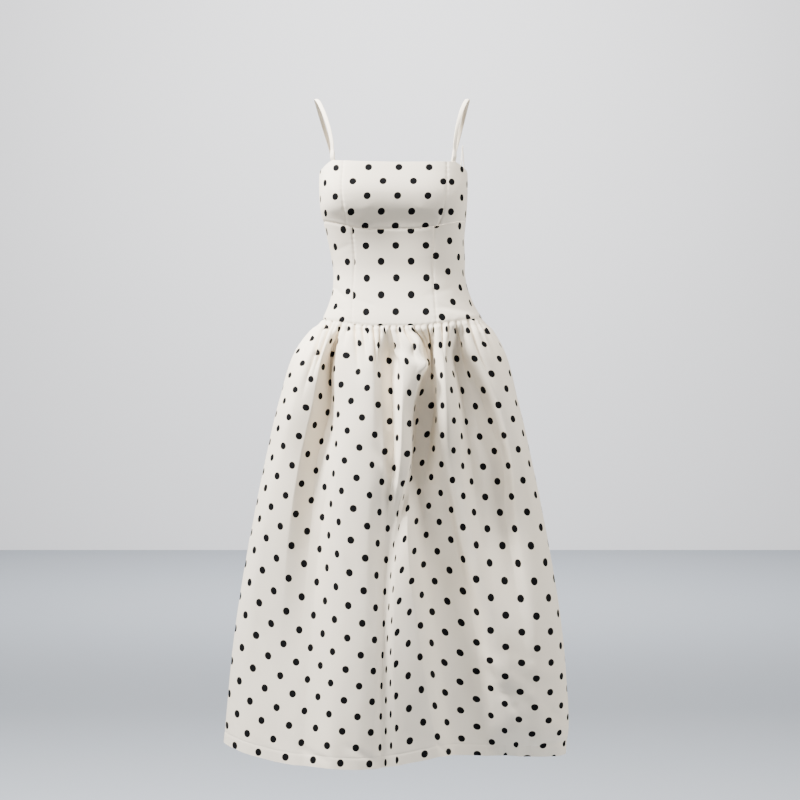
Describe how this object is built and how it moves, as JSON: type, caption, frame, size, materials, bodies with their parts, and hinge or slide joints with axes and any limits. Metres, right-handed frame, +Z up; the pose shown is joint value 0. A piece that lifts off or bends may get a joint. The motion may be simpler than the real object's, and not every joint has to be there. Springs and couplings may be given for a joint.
{
  "type": "strappy dress with gathered skirt",
  "caption": "Sleeveless dress with thin shoulder straps, a seamed dropped-waist bodice and a full gathered skirt, hollow as worn.",
  "frame": {"origin": "midway between the tops of the two shoulder straps, where the wearer's shoulders hold the dress up", "axes": "+Z up, -Y out of the front of the dress, +X to the wearer's left"},
  "size_m": [0.623, 0.409, 1.1671],
  "materials": {
    "dotted_cloth": "matte off-white woven cotton with black dots",
    "plain_cloth": "matte off-white woven cotton, plain",
    "zip_tape": "matte knitted zip tape",
    "zip_metal": "satin nickel"
  },
  "bodies": {
    "dress": {"bust_front": "dotted_cloth", "bust_side_left": "dotted_cloth", "bust_side_right": "dotted_cloth", "midriff_front": "dotted_cloth", "midriff_side_left": "dotted_cloth", "midriff_side_right": "dotted_cloth", "back_left": "dotted_cloth", "back_right": "dotted_cloth", "skirt_front": "dotted_cloth", "skirt_back_left": "dotted_cloth", "skirt_back_right": "dotted_cloth", "strap_left": "plain_cloth", "strap_right": "plain_cloth", "hanger_loop_left": "plain_cloth", "zip_tape_left": "zip_tape", "zip_tape_right": "zip_tape", "zip_slider": "zip_metal"},
    "pull": {"zip_pull": "zip_metal"}
  },
  "joints": [
    {"name": "pull_swing", "type": "hinge", "parent": "dress", "child": "pull", "pos_m": [0.0011, 0.09792, -0.181], "axis": [1, 0, 0], "range_deg": [0, 175]}
  ]
}
